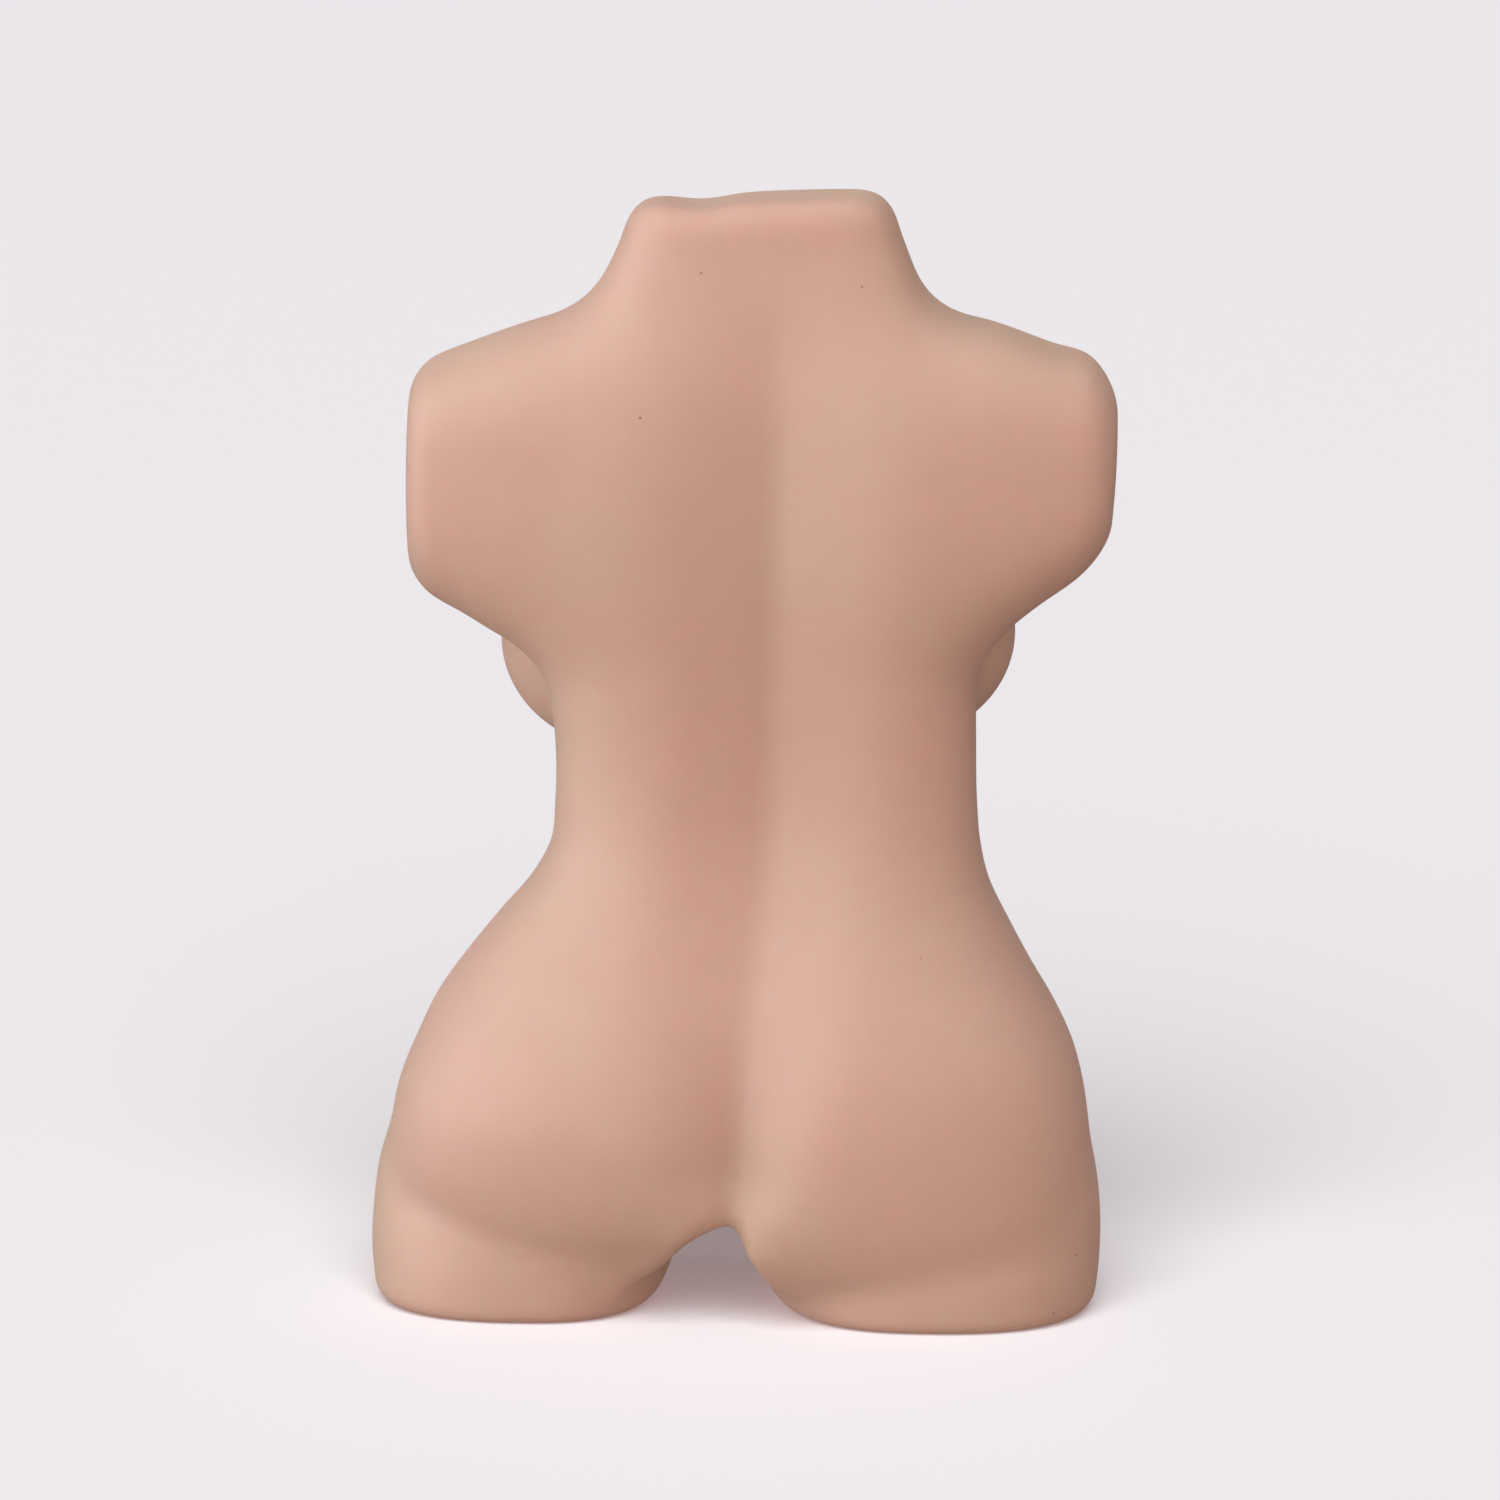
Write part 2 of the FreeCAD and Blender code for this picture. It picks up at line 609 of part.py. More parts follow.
def chest_frame():
    """The spine tube, the shoulder bar and the neck post, with their end plates and pads."""
    top = "(hinge_height + tongue_socket_rise + socket_base)"
    length = f"shoulder_height - tube_radius - post_gap - {top}"
    pinned_tube("spine_tube", length, on_spine(top), "Z", "socket_depth / 2")
    clamp_block("shoulder_clamp", "0", "shoulder_height", ["Z", "-Z"])
    bar_start = ("chest_shift - shoulder_reach + face_gap", "spine_depth", "shoulder_height")
    part(tube("shoulder_bar", "2 * (shoulder_reach - face_gap)", bar_start, "X"), "shoulder_bar")
    for side, sign, axis, away in (("left", "+", "-X", "X"), ("right", "-", "X", "-X")):
        outer = f"chest_shift {sign} (shoulder_reach + plate_thickness)"
        plate, pad = "shoulder_plate_" + side, "shoulder_pad_" + side
        part(end_plate(plate, "shoulder_plate_radius", (outer, "spine_depth", "shoulder_height"), axis), plate)
        part(rod(pad, "shoulder_plate_radius", "shoulder_pad_thickness - face_gap",
                 (f"{outer} {sign} face_gap", "spine_depth", "shoulder_height"), away), pad)
    start = "(shoulder_height + tube_radius + post_gap)"
    part(tube("neck_post", f"neck_plate_height - {start} - face_gap", on_spine(start)), "neck_post")
    above = "neck_plate_height + plate_thickness"
    part(end_plate("neck_plate", "neck_plate_radius", on_spine(above), "-Z"), "neck_plate")
    part(rod("neck_pad", "neck_plate_radius", "neck_pad_thickness - face_gap",
             on_spine(above + " + face_gap")), "neck_pad")


def set_screws():
    """The set screws of each half's clamps and end plates, one group of separate screws for each half."""
    left, right = "pelvis_shift + thigh_spacing", "pelvis_shift - thigh_spacing"
    foot = "sole_thickness + foot_pad_thickness + plate_thickness + boss_length / 2"
    pelvis = [screw_at("0", "crossbar_height + block_drop - 8"), screw_at("0", "crossbar_height", "-Y")]
    for across in (left, right):
        pelvis += [screw_at(across, "crossbar_height - block_drop + 8"),
                   screw_at(across, "crossbar_height", "-Y"), screw_at(across, foot)]
    chest = [screw_at("0", "shoulder_height + block_drop - 8"),
             screw_at("0", "shoulder_height - block_drop + 8"),
             screw_at("0", "shoulder_height", "-Y"),
             screw_at("0", "neck_plate_height - boss_length / 2")]
    for sign in "+-":
        chest.append(screw_at(f"chest_shift {sign} (shoulder_reach - boss_length / 2)", "shoulder_height"))
    for label, places in (("pelvis_set_screws", pelvis), ("chest_set_screws", chest)):
        part(group(label, *[set_screw(f"{label}_{n}", *where) for n, where in enumerate(places)]), label)


# ---------------------------------------------------------------- soft pieces
CAVITY = "skin_thickness"
CORE = "skin_thickness + fit_gap"


def block_space(name, across, height, down, up):
    half = "(block_half + fit_gap)"
    return solid("Box", name, (f"{across} - {half}", f"spine_depth - {half}", f"{height} - {down} - fit_gap"),
                 Length=f"2 * {half}", Width=f"2 * {half}", Height=f"{down} + {up} + 2 * fit_gap")


def hip_foam():
    """The foam core of the pelvis and thighs, with the spaces that the frame fills."""
    core = hips_form("hip_core", CORE, "sole_thickness", "hips_crotch_height + skin_thickness + fit_gap",
                     "waist_bottom")
    tall, well = "fork_socket_bottom - crossbar_height", "boot_radius + boot_wave + boot_wall + 1"
    tools = [
        rod("hip_core_bar", "tube_radius + fit_gap", "2 * crossbar_reach + 2 * fit_gap",
            ("pelvis_shift - crossbar_reach - fit_gap", "spine_depth", "crossbar_height"), "X"),
        rod("hip_core_post", "socket_radius + fit_gap", tall, on_spine("crossbar_height")),
        rod("hip_core_well", well, "40", on_spine("fork_socket_bottom - 1")),
        block_space("hip_core_clamp", "0", "crossbar_height", "block_rise", "block_drop"),
    ]
    for side, sign in (("left", "+"), ("right", "-")):
        across = f"pelvis_shift {sign} thigh_spacing"
        plates = "foot_pad_thickness + plate_thickness + fit_gap"
        tools += [
            block_space("hip_core_clamp_" + side, across, "crossbar_height", "block_drop", "block_rise"),
            rod("hip_core_boss_" + side, "boss_radius + fit_gap", "crossbar_height",
                (across, "spine_depth", "0")),
            rod("hip_core_plate_" + side, "foot_plate_radius + fit_gap", plates + " + 1",
                (across, "spine_depth", "sole_thickness - 1")),
        ]
    part(cut("hip_foam", core, *tools), "hip_foam")


def hip_skin():
    """The lower part of the moulded skin: hips, seat and thigh stumps, hollow for the foam core."""
    cavity = hips_form("hip_cavity", CAVITY, "sole_thickness - face_gap",
                       "hips_crotch_height + skin_thickness", "waist_bottom + 1")
    part(cut("hip_skin", hips_form("hip_outer"), cavity), "hip_skin")


def waist_pieces():
    """The band of skin and the foam ring round the hinge, which both bend with it."""
    hollow = flat_loft("waist_cavity", "waist", WAIST, CAVITY, bottom="waist_bottom - 1", top="waist_top + 1")
    part(cut("waist_skin", waist_form("waist_outer"), hollow), "waist_skin")
    well = "boot_radius + boot_wave + boot_wall + 1"
    bore = rod("waist_core_well", well, "waist_top", on_spine("1"))
    part(cut("waist_foam", waist_form("waist_core", CORE), bore), "waist_foam")


def chest_foam():
    """The foam core of the chest, shoulders and neck, with the spaces that the frame fills."""
    ribs, yoke, neck = chest_form("chest_core", CORE, "total_height - skin_thickness - fit_gap",
                                  "shoulder_stump_face_reach - skin_thickness - fit_gap")
    socket_top = "hinge_height + tongue_socket_rise + socket_depth + socket_base"
    end = "shoulder_reach + plate_thickness + shoulder_pad_thickness + fit_gap"
    well = "boot_radius + boot_wave + boot_wall + 1"
    tools = [
        rod("chest_core_well", well, "40", on_spine(f"{socket_top} + 1 - 40")),
        rod("chest_core_spine", "tube_radius + fit_gap", "neck_plate_height - hinge_height",
            on_spine("hinge_height")),
        block_space("chest_core_clamp", "0", "shoulder_height", "block_drop", "block_drop"),
        rod("chest_core_bar", "tube_radius + fit_gap", "2 * shoulder_reach",
            ("chest_shift - shoulder_reach", "spine_depth", "shoulder_height"), "X"),
        rod("chest_core_neck_boss", "boss_radius + fit_gap", "boss_length + fit_gap",
            on_spine("neck_plate_height - boss_length - fit_gap")),
        rod("chest_core_neck_plate", "neck_plate_radius + fit_gap", "100",
            on_spine("neck_plate_height - fit_gap")),
    ]
    for side, sign, axis in (("left", "+", "X"), ("right", "-", "-X")):
        inner = f"chest_shift {sign} (shoulder_reach - boss_length - fit_gap)"
        plate = f"chest_shift {sign} (shoulder_reach - fit_gap)"
        tools += [
            rod("chest_core_boss_" + side, "boss_radius + fit_gap", "boss_length + 2 * fit_gap",
                (inner, "spine_depth", "shoulder_height"), axis),
            rod("chest_core_plate_" + side, "shoulder_plate_radius + fit_gap",
                f"{end} - shoulder_reach + fit_gap", (plate, "spine_depth", "shoulder_height"), axis),
        ]
    part(cut("chest_foam", fuse("chest_core", ribs, yoke, neck), *tools), "chest_foam")


def chest_skin():
    """The upper part of the moulded skin, hollow for the core and the gel pads, and the gel pads."""
    fronts = busts("chest_outer_bust", "bust_radius_deep", "bust_radius_across", "bust_radius_high", "bust_depth")
    outer = fuse("chest_outer", *chest_form("chest_outer"), *fronts)
    ribs, yoke, neck = chest_form("chest_cavity", CAVITY, "total_height - skin_thickness",
                                  "shoulder_stump_face_reach - skin_thickness", "waist_top - 1")
    pockets = busts("gel_pocket", "gel_radius_deep + fit_gap", "gel_radius_across + fit_gap",
                    "gel_radius_high + fit_gap", "gel_depth")
    part(cut("chest_skin", outer, ribs, yoke, neck, *pockets), "chest_skin")
    pads = busts("chest_gel", "gel_radius_deep", "gel_radius_across", "gel_radius_high", "gel_depth")
    for side, pad in zip(("left", "right"), pads):
        part(pad, "chest_gel_pad_" + side)


def write_parts():
    """Stops on any failed object or faulty piece, then writes each piece to its own STEP file."""
    doc.recompute()
    failed = [o.Name for o in doc.Objects if set(o.State) & {"Invalid", "Error"}]
    faulty = [p.Label for p in PARTS if p.Shape.isNull() or not p.Shape.isValid() or p.Shape.Volume <= 0]
    if failed or faulty:
        raise SystemExit(f"failed objects: {failed}; faulty pieces: {faulty}")
    os.makedirs("parts", exist_ok=True)
    for piece in PARTS:
        piece.Shape.exportStep(f"parts/{piece.Label}.step")
        box = piece.Shape.optimalBoundingBox(False)
        print(f"{piece.Label}: {len(piece.Shape.Solids)} solid(s), {piece.Shape.Volume / 1000:.1f} cm3,",
              f"x {box.XMin:.1f}..{box.XMax:.1f}, y {box.YMin:.1f}..{box.YMax:.1f},",
              f"z {box.ZMin:.1f}..{box.ZMax:.1f}")


pelvis_frame()
chest_frame()
waist_hinge()
hinge_boot()
set_screws()
hip_skin()
hip_foam()
waist_pieces()
chest_skin()
chest_foam()
write_parts()
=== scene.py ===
"""Looks of the torso mannequin: its skin, the foam and rubber under it, and finishes for the frame."""
import math

import bpy
import numpy as np
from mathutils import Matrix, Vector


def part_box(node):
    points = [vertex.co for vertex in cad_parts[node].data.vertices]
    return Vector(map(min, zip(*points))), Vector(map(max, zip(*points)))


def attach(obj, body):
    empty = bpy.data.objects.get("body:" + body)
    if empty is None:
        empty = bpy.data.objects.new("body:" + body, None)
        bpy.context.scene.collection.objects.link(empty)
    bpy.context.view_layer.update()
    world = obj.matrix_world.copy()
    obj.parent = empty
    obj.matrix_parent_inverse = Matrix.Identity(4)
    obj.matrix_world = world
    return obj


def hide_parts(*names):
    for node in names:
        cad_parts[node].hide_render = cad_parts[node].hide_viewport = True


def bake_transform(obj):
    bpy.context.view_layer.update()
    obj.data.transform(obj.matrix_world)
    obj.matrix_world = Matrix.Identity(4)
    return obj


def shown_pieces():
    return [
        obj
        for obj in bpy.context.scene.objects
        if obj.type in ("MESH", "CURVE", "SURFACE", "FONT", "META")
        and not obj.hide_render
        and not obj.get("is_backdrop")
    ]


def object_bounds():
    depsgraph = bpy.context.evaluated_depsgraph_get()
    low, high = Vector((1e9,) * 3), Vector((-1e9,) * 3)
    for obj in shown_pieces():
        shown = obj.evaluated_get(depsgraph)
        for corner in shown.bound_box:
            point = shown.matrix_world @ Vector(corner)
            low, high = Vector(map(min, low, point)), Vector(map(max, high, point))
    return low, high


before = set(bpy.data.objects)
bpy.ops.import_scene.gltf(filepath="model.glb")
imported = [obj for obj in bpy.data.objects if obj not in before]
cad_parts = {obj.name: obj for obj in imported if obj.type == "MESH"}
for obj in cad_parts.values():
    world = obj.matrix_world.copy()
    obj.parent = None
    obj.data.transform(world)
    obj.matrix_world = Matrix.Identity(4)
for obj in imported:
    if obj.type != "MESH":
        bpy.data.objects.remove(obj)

import openvdb as vdb
from mathutils import Quaternion, Vector

cad_low, cad_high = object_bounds()
MM = 0.001                  # the form is written in millimetres, and Blender's unit is the metre
HEIGHT = cad_high.z / MM - 1.5      # the top of the neck, which stays a little under the CAD's
WALL = 16                   # thickness of the elastomer skin
GAP = 0.4                   # free space between the soft pieces
GRID = 3.0   # spacing of the sampled points
SIDES = ("left", "right")


# ---------------------------------------------------------------- curves and fields
# The figure is a field: a number at each point, in millimetres, under zero inside it and over zero
# outside.
def curve(*points):
    """A smooth function through given (place, value) points. It holds its end values beyond them."""
    places, values = np.array(points, float).T
    slopes = np.gradient(values, places)

    def at(place):
        after = np.clip(np.searchsorted(places, place), 1, len(places) - 1)
        before = after - 1
        span = places[after] - places[before]
        t = np.clip((place - places[before]) / span, 0, 1)
        bend = t * t * (3 - 2 * t)
        lift = t * (1 - t) ** 2 * slopes[before] - t * t * (1 - t) * slopes[after]
        return values[before] + bend * (values[after] - values[before]) + span * lift

    return at


def join(a, b, blend):
    """The smooth union of two fields, with a fillet about as large as blend."""
    overlap = np.maximum(blend - np.abs(a - b), 0) / blend
    return np.minimum(a, b) - overlap ** 2 * blend / 4


def trim(a, b, blend):
    """The smooth intersection of two fields, with its edge rounded by about blend."""
    return -join(-a, -b, blend)


def bell(offset, width):
    return np.exp(-0.5 * (offset / width) ** 2)


def ramp(value, start, end):
    """0 before start and 1 after end, turning smoothly between them."""
    t = np.clip((value - start) / (end - start), 0, 1)
    return t * t * (3 - 2 * t)


def oval(u, v, u_low, u_high, v_low, v_high, power):
    """A superellipse across two directions, with its own reach to each of the four sides."""
    u = u + 1e-3
    wide = np.where(u > 0, u_high, u_low)
    tall = np.where(v > 0, v_high, v_low)
    reach = (np.abs(u / wide) ** power + np.abs(v / tall) ** power) ** (1 / power)
    radius = np.hypot(u, v)
    return radius - radius / reach


def ellipsoid(x, y, z, centre, radii):
    u, v, w = (x - centre[0]) / radii[0], (y - centre[1]) / radii[1], (z - centre[2]) / radii[2]
    reach = np.sqrt(u * u + v * v + w * w) + 1e-6
    slope = np.sqrt((u / radii[0]) ** 2 + (v / radii[1]) ** 2 + (w / radii[2]) ** 2) + 1e-9
    return (reach - 1) * reach / slope


# ---------------------------------------------------------------- the figure's form
# Trunk: the places of its two sides, its back and its front at each height. The hips stand a little to
# the figure's left, and the waist is pinched more on that side.
LEFT = curve((0, 181), (33, 185), (53, 182), (73, 180.5), (93, 178), (113, 174), (133, 166), (154, 156),
             (174, 142), (194, 126), (214, 109), (234, 99), (254, 97), (284, 97), (320, 102), (360, 108),
             (450, 100), (490, 86), (516, 75), (536, 66), (560, 60))
RIGHT = curve((0, -172), (33, -176), (53, -176), (73, -174.5), (93, -172.5), (113, -169.5), (133, -164),
              (154, -154), (174, -142), (194, -131), (214, -121), (234, -116), (254, -114), (284, -113),
              (320, -113), (360, -118), (450, -108), (490, -92), (516, -81), (536, -73), (560, -65))
BACK = curve((0, 60), (20, 69), (32, 80), (45, 92.5), (60, 102), (80, 109), (100, 112), (120, 110),
             (150, 101), (180, 87), (210, 74), (240, 66), (282, 66), (314, 71), (346, 77), (380, 81),
             (420, 81), (460, 75), (500, 64), (530, 55), (560, 49))
# How much higher or lower the underside of the seat hangs at each place across.
SEAT_RISE = curve((-180, -4), (-150, -14), (-80, -17), (-20, -10), (40, 4), (75, 3), (105, 5), (145, 13),
                  (178, 27))
FRONT = curve((0, 70), (60, 76), (130, 86), (177, 85), (224, 82), (252, 83), (282, 84), (346, 88),
              (400, 86), (450, 72), (500, 58), (530, 54), (560, 52))
MIDLINE = curve((60, 4), (150, 1), (254, -8), (400, -4), (560, -4))
ROUNDNESS = curve((0, 2.8), (110, 2.9), (180, 2.7), (252, 3.1), (400, 3.0), (470, 3.3), (520, 4.2),
                  (560, 4.4))

# Shoulder bar: its top and underside at each place across, the figure's right side under zero.
SHOULDER_TOP = curve((-182, 466), (-168, 478), (-147, 485), (-118, 495), (-80, 502), (0, 506), (80, 501),
                     (110, 493), (138, 483), (160, 474), (175, 466))
SHOULDER_BOTTOM = curve((-182, 388), (-169, 376), (-158, 367), (-144, 357), (-126, 343), (-105, 329),
                        (0, 316), (105, 327), (127, 339), (142, 348), (158, 357), (169, 365))
SHOULDER_BACK = curve((0, 72), (60, 75), (110, 74), (150, 68), (185, 58))
SHOULDER_FRONT = curve((0, 72), (60, 72), (110, 66), (150, 58), (185, 50))
SHOULDER_LINE = 420         # the height that the bar's top and underside are measured from
STUMP_LEFT, STUMP_RIGHT = 171, -180.5

# The underside between the thigh stumps is a small arch, which falls away into each stump.
CROTCH = curve((-90, -60), (-38, 6), (-9, 28), (-1, 42.3), (9, 46.7), (27, 43.8), (40, 29), (70, 8),
               (115, -60))

# The valley down the back: its line, depth and width at each height, and a narrower crease in it.
SPINE = curve((30, 5), (100, 3), (150, 0), (200, -6), (254, -10), (400, -12), (560, -12))
SPINE_DEPTH = curve((40, 0), (60, 7), (80, 15), (100, 17), (125, 17), (160, 15), (190, 14), (250, 13),
                    (330, 14), (430, 14), (470, 10), (505, 4), (540, 0))
SPINE_WIDTH = curve((40, 14), (80, 18), (120, 22), (160, 27), (250, 30))
CREASE_DEPTH = curve((40, 0), (60, 4), (90, 5), (140, 2), (190, 2), (250, 2.5), (430, 2.5), (480, 1),
                     (520, 0))
CREASE_WIDTH = 8

# How far each join is filleted, and how far each cut edge is rounded.
SHOULDER_FILLET, FOLD_FILLET = 20, 7.5
BUST_FILLET_SIDE, BUST_FILLET_FRONT = 7, 30
STUMP_EDGE_LEFT, STUMP_EDGE_RIGHT, CROTCH_EDGE, NECK_EDGE, SOLE_EDGE = 12, 16, 12, 15, 10


def trunk(x, y, z):
    """The trunk from the stumps to the neck. The seat's rise and fall across fades out up its slope."""
    middle = MIDLINE(z)
    back = BACK(z - SEAT_RISE(x) * (1 - ramp(z, 50, 130)))
    return oval(x - middle, y, middle - RIGHT(z), LEFT(z) - middle, FRONT(z), back, ROUNDNESS(z))


def shoulders(x, y, z):
    """One thick bar from stump to stump, with nearly flat, slightly domed ends."""
    reach = np.abs(x + 4)
    bar = oval(y, z - SHOULDER_LINE, SHOULDER_FRONT(reach), SHOULDER_BACK(reach),
               SHOULDER_LINE - SHOULDER_BOTTOM(x), SHOULDER_TOP(x) - SHOULDER_LINE, 2.8)
    left_dome = ((z - 418) ** 2 + y ** 2) * 0.0007
    right_dome = ((z - 440) ** 2 + y ** 2) * 0.0011
    bar = trim(bar, x + left_dome - STUMP_LEFT, STUMP_EDGE_LEFT)
    return trim(bar, STUMP_RIGHT - x + right_dome, STUMP_EDGE_RIGHT)


def thigh(x, y, z, middle, half, front, back, inner):
    """A short upright stump. It narrows to its sole, most on its inner side: -x where inner is -1."""
    swell = curve((0, 0.97), (14, 0.99), (34, 1), (60, 0.98), (80, 0.93), (110, 0.8))(z)
    depth = curve((0, 0.97), (30, 1), (50, 0.95), (80, 0.75), (110, 0.5))(z)
    drawn = half * swell * curve((0, 0.86), (16, 0.94), (36, 1))(z)
    low, high = (drawn, half * swell) if inner < 0 else (half * swell, drawn)
    stump = oval(x - middle, y, low, high, front * depth, back * depth, 2.4)
    return trim(stump, z - 104, 40)


def busts(x, y, z):
    """Two plain rounded forms."""
    left = ellipsoid(x, y, z, (65, -60, 328), (63, 58, 57))
    right = ellipsoid(x, y, z, (-72, -60, 333), (61, 58, 56))
    return np.minimum(left, right)


def relief(x, y, z):
    """How far the surface stands out or, under zero, in: the spine's valley, blades, loins and belly."""
    side = x - SPINE(z)
    behind = ramp(y, 5, 40)
    valley = -SPINE_DEPTH(z) * bell(side, SPINE_WIDTH(z)) - CREASE_DEPTH(z) * bell(side, CREASE_WIDTH)
    blades = 3.0 * (bell(side - 84, 30) + bell(side + 80, 30)) * bell(z - 425, 42)
    loins = 2.0 * (bell(side - 50, 18) + bell(side + 50, 18)) * bell(z - 250, 55)
    belly = 3.0 * bell(side, 48) * bell(z - 195, 40) - 2.0 * bell(side, 10) * bell(z - 300, 60)
    return behind * (valley + blades + loins) + ramp(-y, 5, 50) * belly


def figure(x, y, z):
    """The whole outer form. The neck's cut falls gently to the left, with a shallow dip in it."""
    body = join(trunk(x, y, z), shoulders(x, y, z), SHOULDER_FILLET)
    fillet = BUST_FILLET_SIDE + (BUST_FILLET_FRONT - BUST_FILLET_SIDE) * ramp(-y, 58, 95)
    body = join(body, busts(x, y, z), fillet)
    body = trim(body, CROTCH(x) - z, CROTCH_EDGE)
    left = thigh(x, y, z, 110.2, 77.2, 76, 77, -1)
    right = thigh(x, y, z, -91, 87.5, 78, 88, 1)
    stumps = np.minimum(left, right)
    body = join(body - relief(x, y, z), stumps, FOLD_FILLET)
    neck_top = HEIGHT - 0.8 - 0.036 * (x + 42) - 3.2 * bell(x - 27, 12)
    body = trim(body, z - neck_top, NECK_EDGE)
    return trim(body, -z, SOLE_EDGE)


# ---------------------------------------------------------------- from a field to a mesh
def field_mesh(name, field, low, high, step):
    """A closed mesh on the zero surface of a field, with each point moved onto the true surface."""
    axes = [np.arange(a, b + step, step) for a, b in zip(low, high)]
    grid = np.meshgrid(*axes, indexing="ij")
    values = field(*grid).astype(np.float32)
    volume = vdb.FloatGrid()
    volume.copyFromArray(values)
    points, quads = volume.convertToQuads(isovalue=0.0)
    points, quads = without_chips(np.array(points, float), np.array(quads, int))
    points = settle(points * step + np.array(low), field)
    return mesh_piece(name, (points * MM).tolist(), quads.tolist())


def without_chips(points, quads, fewest=200):
    """The mesh without its loose bits of under fewest points."""
    shell = np.arange(len(points))
    while True:
        lowest = shell.copy()
        np.minimum.at(lowest, quads, shell[quads].min(axis=1)[:, None])
        lowest = lowest[lowest]
        if (lowest == shell).all():
            break
        shell = lowest
    kept = np.bincount(shell, minlength=len(points))[shell] >= fewest
    return points[kept], (np.cumsum(kept) - 1)[quads[kept[quads[:, 0]]]]


def mesh_piece(name, points, faces):
    mesh = bpy.data.meshes.new(name)
    mesh.from_pydata(points, [], faces)
    mesh.shade_smooth()
    piece = bpy.data.objects.new(name, mesh)
    bpy.context.scene.collection.objects.link(piece)
    return piece


def settle(points, field, rounds=4, reach=0.5, farthest=3):
    """Moves points along the field's slope until they lie on its zero surface."""
    for _ in range(rounds):
        x, y, z = points.T
        value = field(x, y, z)
        slope = np.stack([
            field(x + reach, y, z) - field(x - reach, y, z),
            field(x, y + reach, z) - field(x, y - reach, z),
            field(x, y, z + reach) - field(x, y, z - reach),
        ], axis=1) / (2 * reach)
        steep = np.maximum((slope ** 2).sum(axis=1), 0.05)      # steps stay short where it is flat
        points = points - np.clip(value / steep, -farthest, farthest)[:, None] * slope
    return points


# ---------------------------------------------------------------- pieces
AROUND_LOW, AROUND_HIGH = (-205, -135, -12), (210, 140, HEIGHT + 12)      # a box round the whole figure
ALONG_X, ALONG_Z = 0, 2
ROUND, SQUARE = 2, 8        # the power of an oval that is a circle, and of one that is nearly a square
SOCKET_ROOM = 1.2           # free space round a node of the frame in its socket
SOCKET_NEAR = 12            # a socket is only worked out this near its node


def bends_at_waist(piece):
    """Bakes the piece's placement into its mesh."""
    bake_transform(piece)


def skin_wall(x, y, z):
    """The skin is a closed shell."""
    outside = figure(x, y, z)
    return np.maximum(outside, -(outside + WALL))


def socket(x, y, z, low, high, along, power):
    """The hole that the foam leaves round a node: a round or square bar along x or z."""
    middle, half = (low + high) / 2, (high - low) / 2 + SOCKET_ROOM
    offsets = [place - centre for place, centre in zip((x, y, z), middle)]
    end = np.abs(offsets.pop(along)) - half[along]
    wide, tall = np.delete(half, along)
    return np.maximum(oval(*offsets, wide, wide, tall, tall, power), end)


def corners(node):
    """The lowest and highest corner of a node, in millimetres."""
    return [np.array(corner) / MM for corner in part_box(node)]


SOCKET_KINDS = {
    (ALONG_X, ROUND): ["pelvis_crossbar", "shoulder_bar", "shoulder_plate_left", "shoulder_plate_right",
                       "shoulder_pad_left", "shoulder_pad_right"],
    (ALONG_Z, ROUND): ["pelvis_post", "spine_tube", "neck_post", "neck_plate", "neck_pad", "hinge_boot",
                       "thigh_post_left", "thigh_post_right", "foot_plate_left", "foot_plate_right",
                       "foot_pad_left", "foot_pad_right"],
    (ALONG_Z, SQUARE): ["pelvis_clamp", "shoulder_clamp", "thigh_clamp_left", "thigh_clamp_right"],
}
SOCKETS = [(*corners(node), *kind) for kind, held in SOCKET_KINDS.items() for node in held]
GEL_BOXES = {side: corners("chest_gel_pad_" + side) for side in SIDES}


def foam(x, y, z):
    """The foam core fills the skin, with sockets for the frame, the boot and the gel inserts."""
    core = figure(x, y, z) + WALL + GAP
    for low, high, along, power in SOCKETS:
        near = np.ones(x.shape, bool)
        for place, a, b in zip((x, y, z), low, high):
            near &= (place > a - SOCKET_NEAR) & (place < b + SOCKET_NEAR)
        core[near] = np.maximum(core[near], -socket(x[near], y[near], z[near], low, high, along, power))
    for low, high in GEL_BOXES.values():
        core = np.maximum(core, -ellipsoid(x, y, z, (low + high) / 2, (high - low) / 2 + GAP))
    return core


def gel_lens(side):
    """The field of a soft lens that lies in the skin's hollow behind the chest."""
    low, high = GEL_BOXES[side]

    def lens(x, y, z):
        pad = ellipsoid(x, y, z, (low + high) / 2, (high - low) / 2)
        return trim(pad, figure(x, y, z) + WALL + GAP, 4)

    return lens


TURNS = 96                  # points round a turned piece


def lathe(name, outline, centre, along, hollow):
    """A turned piece: its outline of (radius, place along the axis) points is swept round the axis."""
    turn = np.linspace(0, 2 * math.pi, TURNS, endpoint=False)
    radius, place = (np.array(values)[:, None] for values in zip(*outline))
    ring = np.stack([radius * np.cos(turn), radius * np.sin(turn), place + 0 * turn], axis=-1)
    if along == ALONG_X:
        ring = ring[..., [2, 0, 1]]
    count = len(outline)
    faces = []
    for n in range(count if hollow else count - 1):
        for k in range(TURNS):
            after, onward = (n + 1) % count, (k + 1) % TURNS
            faces.append((n * TURNS + k, n * TURNS + onward, after * TURNS + onward, after * TURNS + k))
    if not hollow:
        faces.append(tuple(range(TURNS))[::-1])
        faces.append(tuple((count - 1) * TURNS + k for k in range(TURNS)))
    return mesh_piece(name, ((ring.reshape(-1, 3) + centre) * MM).tolist(), faces)


